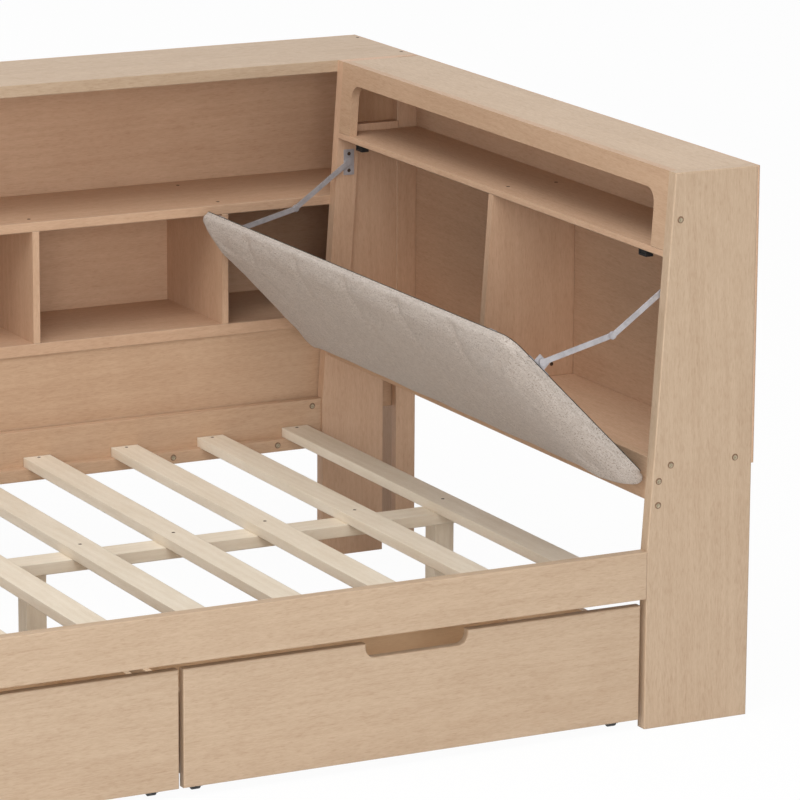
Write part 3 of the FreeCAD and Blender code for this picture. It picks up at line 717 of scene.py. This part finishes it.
def padCreases(side, along):
    # evenly spaced creases, each a narrow and a wide bell curve across the flap that dies away down it
    low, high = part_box("flap_pad")
    pitch = (high.y - low.y) / (crease["count"] + 1)
    wander = crease["wander"] * np.sin(along * crease["wanderAlong"] + side * crease["wanderSide"])
    phase = (side - low.y + wander) / pitch
    nearest = np.clip(np.round(phase), 1, crease["count"])
    offset = (phase - nearest) * pitch
    below = pad["head"] - crease["start"] - along
    rising = np.clip(1 + below / crease["rise"], 0, 1)
    fade = np.where(below > 0, np.exp(-below / crease["length"]), rising)
    narrow = crease["depth"] * np.exp(-(offset / crease["width"]) ** 2)
    wide = crease["valleyDepth"] * np.exp(-(offset / crease["valleyWidth"]) ** 2)
    return (narrow + wide) * fade


def softenPad(piece):
    # lumps raise and lower the face and creases press it in; where the face turns over the head edge, a
    # crease loses some of its depth and pulls the edge down instead
    across, side, along = toFlap(pointsOf(piece.data)).T
    front = np.clip((-pad["lipDepth"] - across) / pad["frontOnset"], 0, 1)
    depth = padCreases(side, along)
    turnOver = np.clip((along - pad["head"] + crease["turnStart"]) / crease["turnLength"], 0, 1)
    pressed = depth * (1 - crease["turnLoss"] * turnOver) - lump["height"] * padLumps(side, along)
    pulled = front * depth * crease["turnPull"] * turnOver
    setPoints(piece.data, fromFlap(np.stack([across + front * pressed, side, along - pulled], axis=1)))


def makePad():
    # a rounded cushion meshed evenly, swelled and creased; it takes the place of the plain pad
    points, faces = padPoints(pad["rows"], pad["columns"])
    fabric = linenMaterial("heatherLinen", False)
    cover = addPiece("flapPadCover", points, faces, fabric, "flap")
    modifyPiece(cover, "REMESH", mode="VOXEL", voxel_size=pad["voxel"])
    modifyPiece(cover, "SMOOTH", factor=0.5, iterations=1)
    applyAll(cover)
    inflate(cover)
    softenPad(cover)
    smoothFaces(cover.data)
    modifyPiece(cover, "SUBSURF", levels=1, render_levels=1)
    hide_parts("flap_pad")
    dressNode("flap_board", linenMaterial("linedBoard", True))
    print("flap pad made:", len(cover.data.polygons), "faces")


makePad()

# Screws and bolts

panelBolt = {
    "radius": 0.0048,
    "proud": 0.0005,
    "socket": 0.0020,
    "deep": 0.0003,
    # the head sits off the centre of its dark seat ring so that the ring shows as a painted shadow crescent
    "shadeCrescentShift": (0.0006, 0.0, -0.0009),
    # in the near end panel: set back from the headboard's back, and height
    "panel": [(0.1664, 0.990), (0.1779, 0.517), (0.0362, 0.517), (0.2035, 0.488), (0.2041, 0.441)],
    "railInset": 0.022,
    "railHeight": 0.337,
    # through the slat cleat: set back from the rail's head end
    "cleat": [0.115, 0.360, 0.970, 1.580, 1.828],
    "cleatHeight": 0.265,
}
# a dark ring round each bolt head: painted shade of the hole it sits in
boltShadeRing = {"radius": 0.0068, "proud": 0.0003, "socket": 0.0030, "deep": 0.0002}
boardScrew = {
    "radius": 0.0040,
    "proud": 0.0004,
    "socket": 0.0016,
    "deep": 0.0003,
    # in the bookcase: from the front, back and head end of its top board
    "shelfFront": 0.036,
    "shelfBack": 0.042,
    "sideFront": 0.020,
    "sideHeights": (0.755, 0.568),
    "topEnd": 0.007,
    "topFront": 0.040,
    "topBack": 0.033,
    # in the headboard: set back from its back
    "niche": (0.150, 0.040),
    "cupboard": 0.050,
    "cupboardHeight": 0.555,
}
slatScrew = {"radius": 0.0036, "proud": 0.0004, "socket": 0.0015, "deep": 0.0003, "inset": 0.012}
# the same head as in the boards
plateScrew = dict(boardScrew, inset=0.002, fromTop=0.0094, fromFoot=0.0095)
# the bookcase's dividers share one node
dividers = {"count": 4, "thick": 0.015}
# points round a head, and shares of its height and radius
headForm = {"columns": 24, "sideTop": 0.3, "crown": 0.86, "socketTop": 0.9, "floor": 0.05}
frontward, rearward = (0, -1, 0), (0, 1, 0)
leftward, rightward = (-1, 0, 0), (1, 0, 0)
upward = (0, 0, 1)


def screwHead(look):
    # a low dome turned about the normal, with a six-sided socket whose rim is apothem over cosine
    columns = headForm["columns"]
    angles = np.linspace(0, 2 * math.pi, columns, endpoint=False)
    sector = math.pi / 3
    hexagon = look["socket"] / np.cos((angles % sector) - sector / 2)
    side = np.full(columns, look["radius"])
    proud = look["proud"]
    socketTop = headForm["socketTop"] * proud
    socketFloor = socketTop - look["deep"]
    rings = [(side, -proud), (side, headForm["sideTop"] * proud), (headForm["crown"] * side, proud),
             (hexagon, socketTop), (hexagon, socketFloor), (headForm["floor"] * hexagon, socketFloor)]
    points = [np.stack([reach * np.cos(angles), reach * np.sin(angles), np.full(columns, level)], axis=1)
              for reach, level in rings]
    return np.concatenate(points), gridFaces(len(rings), columns)


def screwSet(name, look, places, finish):
    # copies of one head, each turned so that its axis is the normal at its place; normals run along the axes
    head, faces = screwHead(look)
    allPoints = []
    allFaces = []
    for position, normal in places:
        axis = np.array(normal, float)
        side = np.cross(axis, rightward if normal in (frontward, rearward) else rearward)
        basis = np.stack([side, np.cross(axis, side), axis])
        allFaces.append(faces + len(head) * len(allPoints))
        allPoints.append(np.array(position) + head @ basis)
    addPiece(name, np.concatenate(allPoints), np.concatenate(allFaces), finish, "bed_frame")


def makeBolts():
    # bolts in the near end panel, near the ends of the back rail and along its slat cleat, each a little off
    # the centre of a dark ring of painted hole shade, so that the ring shows as a painted shadow crescent
    panelLow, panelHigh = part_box("near_end_panel")
    railLow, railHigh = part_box("back_rail")
    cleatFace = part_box("back_cleat")[0].y
    inset = panelBolt["railInset"]
    places = [(panelHigh.x - x, panelLow.y, z) for x, z in panelBolt["panel"]]
    places += [(x, railLow.y, panelBolt["railHeight"]) for x in (railHigh.x - inset, railLow.x + inset)]
    places += [(railHigh.x - x, cleatFace, panelBolt["cleatHeight"]) for x in panelBolt["cleat"]]
    shifted = np.array(places) + panelBolt["shadeCrescentShift"]
    screwSet("boltShadeRings", boltShadeRing, [(place, frontward) for place in places], recessShadeFinish)
    screwSet("frameBolts", panelBolt, [(place, frontward) for place in shifted], boltFinish)


def bookcaseScrews():
    # two in the middle shelf at each divider, two in the second divider's left face and two in the top board
    low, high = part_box("bookcase_top")
    dividerLow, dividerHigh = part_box("bookcase_dividers")
    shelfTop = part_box("bookcase_middle_shelf")[1].z
    thick = dividers["thick"]
    pitch = (dividerHigh.x - dividerLow.x - thick) / (dividers["count"] - 1)
    places = []
    for index in range(dividers["count"]):
        x = dividerLow.x + thick / 2 + index * pitch
        places.append(((x, low.y + boardScrew["shelfFront"], shelfTop), upward))
        places.append(((x, high.y - boardScrew["shelfBack"], shelfTop), upward))
    sideY = low.y + boardScrew["sideFront"]
    places += [((dividerLow.x + pitch, sideY, z), leftward) for z in boardScrew["sideHeights"]]
    topX = high.x - boardScrew["topEnd"]
    places.append(((topX, low.y + boardScrew["topFront"], high.z), upward))
    places.append(((topX, high.y - boardScrew["topBack"], high.z), upward))
    return places


def headboardScrews():
    # two in the niche shelf over the cupboard's divider and one in the divider's near face
    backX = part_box("near_end_panel")[1].x
    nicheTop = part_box("headboard_shelf")[1].z
    low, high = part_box("headboard_divider")
    middle = (low.y + high.y) / 2
    places = [((backX - x, middle, nicheTop), upward) for x in boardScrew["niche"]]
    places.append(((backX - boardScrew["cupboard"], low.y, boardScrew["cupboardHeight"]), frontward))
    return places


def makeSlatScrews():
    # one near each end of a slat and one over the centre beam
    beamLow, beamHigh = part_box("centre_beam")
    beamY = (beamLow.y + beamHigh.y) / 2
    inset = slatScrew["inset"]
    places = []
    for name in slats:
        low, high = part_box(name)
        x = (low.x + high.x) / 2
        places += [((x, y, high.z), upward) for y in (low.y + inset, beamY, high.y - inset)]
    screwSet("slatScrews", slatScrew, places, screwAndHoleShadeFinish)


def makePlateScrews():
    # two in each wall plate of the stays, facing into the cupboard
    low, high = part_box("stay_wall_plates")
    x = (low.x + high.x) / 2
    inset = plateScrew["inset"]
    places = []
    for z in (high.z - plateScrew["fromTop"], low.z + plateScrew["fromFoot"]):
        places += [((x, low.y + inset, z), rearward), ((x, high.y - inset, z), frontward)]
    screwSet("plateScrews", plateScrew, places, screwAndHoleShadeFinish)


makeBolts()
screwSet("boardScrews", boardScrew, bookcaseScrews() + headboardScrews(), screwAndHoleShadeFinish)
makeSlatScrews()
makePlateScrews()
print("screws placed")

# Stage, light and camera

studio = {
    "floorSize": 60.0,
    "floorColor": linear(250, 250, 250),
    "floorGlow": 0.96,
    "worldStrength": 0.28,
    "aim": (0.1, 0.1, 0.45),
}
# place, size and watts of each lamp
lamps = {
    "keyLight": ((-2.0, -2.5, 5.5), 4.0, 165.0),
    "frontLight": ((-4.5, -10.6, 2.2), 5.0, 390.0),
    "fillLight": ((0.0, -8.0, 2.5), 5.0, 75.0),
    "leftLight": ((-8.0, -1.0, 2.5), 5.0, 105.0),
    "topLight": ((0.0, 0.0, 7.0), 6.0, 140.0),
    "rearLight": ((3.5, 7.5, 3.5), 5.0, 60.0),
}
cameraLook = {
    "azimuth": 27.256,
    "elevation": 13.469,
    "roll": 0.319,
    "place": (-3.63468, -8.56404, 2.78228),
    "focalPixels": 4864.85,
    "imagePixels": 800,
    "sensor": 36.0,
    "clipEnd": 200.0,
}


def directRay(tree):
    # 1 for rays straight from the camera, off gloss or through glass
    rays = addNode(tree, "ShaderNodeLightPath").outputs
    seen = mathNode(tree, "MAXIMUM", rays["Is Camera Ray"], rays["Is Glossy Ray"])
    return mathNode(tree, "MAXIMUM", seen, rays["Is Transmission Ray"])


def makeStage():
    # a square floor that glows nearly white where it is seen and is plain matt to all other light
    half = studio["floorSize"] / 2
    corners = [[-half, -half, 0.0], [half, -half, 0.0], [half, half, 0.0], [-half, half, 0.0]]
    mesh = bpy.data.meshes.new("studioFloor")
    mesh.from_pydata(corners, [], [[0, 1, 2, 3]])
    material, tree, shader = newMaterial("paleFloor")
    shader.inputs["Base Color"].default_value = studio["floorColor"]
    shader.inputs["Roughness"].default_value = 1.0
    shader.inputs["Specular IOR Level"].default_value = 0.0
    glow = addNode(tree, "ShaderNodeEmission", {"Color": white, "Strength": 1.0})
    share = mathNode(tree, "MULTIPLY", directRay(tree), studio["floorGlow"])
    blend = addNode(tree, "ShaderNodeMixShader", {0: share, 1: shader.outputs[0], 2: glow.outputs[0]})
    tree.links.new(blend.outputs[0], tree.nodes["Material Output"].inputs["Surface"])
    mesh.materials.append(material)
    floor = newObject("studioFloor", mesh)


def makeWorld():
    # white where it is seen, and dimmer where it lights the part
    world = bpy.data.worlds.new("studioWorld")
    world.use_nodes = True
    tree = world.node_tree
    tree.nodes.clear()
    light = addNode(tree, "ShaderNodeBackground", {"Color": white, "Strength": studio["worldStrength"]})
    backdrop = addNode(tree, "ShaderNodeBackground", {"Color": white, "Strength": 1.0})
    blend = addNode(tree, "ShaderNodeMixShader", {
        0: directRay(tree), 1: light.outputs[0], 2: backdrop.outputs[0]})
    addNode(tree, "ShaderNodeOutputWorld", {"Surface": blend.outputs[0]})
    bpy.context.scene.world = world


def aimed(place, aim, roll=0.0):
    # columns of the turn: right, up and back of a view from the place to the aim, rolled about it
    back = np.array(place) - np.array(aim)
    back = back / np.linalg.norm(back)
    right = np.cross([0.0, 0.0, 1.0], back)
    right = right / np.linalg.norm(right)
    up = np.cross(back, right)
    turned = right * math.cos(roll) + up * math.sin(roll)
    raised = up * math.cos(roll) - right * math.sin(roll)
    matrix = np.eye(4)
    matrix[:3] = np.stack([turned, raised, back, place], axis=1)
    return Matrix(matrix.tolist())


def makeLights():
    # area lamps that face the aim; the rear one leaves no gloss
    for name, (place, size, watts) in lamps.items():
        data = bpy.data.lights.new(name, "AREA")
        data.energy = watts
        data.size = size
        lamp = newObject(name, data)
        lamp.matrix_world = aimed(place, studio["aim"])
        lamp.visible_glossy = name != "rearLight"


def makeCamera():
    # the lens is the focal length in pixels, times the sensor's width over the picture's
    azimuth, elevation = math.radians(cameraLook["azimuth"]), math.radians(cameraLook["elevation"])
    level = math.cos(elevation)
    forward = np.array([math.sin(azimuth) * level, math.cos(azimuth) * level, -math.sin(elevation)])
    place = np.array(cameraLook["place"])
    data = bpy.data.cameras.new("photoCamera")
    data.sensor_width = cameraLook["sensor"]
    data.lens = cameraLook["focalPixels"] * cameraLook["sensor"] / cameraLook["imagePixels"]
    data.clip_end = cameraLook["clipEnd"]
    camera = newObject("photoCamera", data)
    camera.matrix_world = aimed(place, place + forward, math.radians(cameraLook["roll"]))
    bpy.context.scene.camera = camera


makeStage()
makeWorld()
makeLights()
makeCamera()
bpy.context.scene.view_settings.view_transform = "Standard"
print("stage, light and camera set")
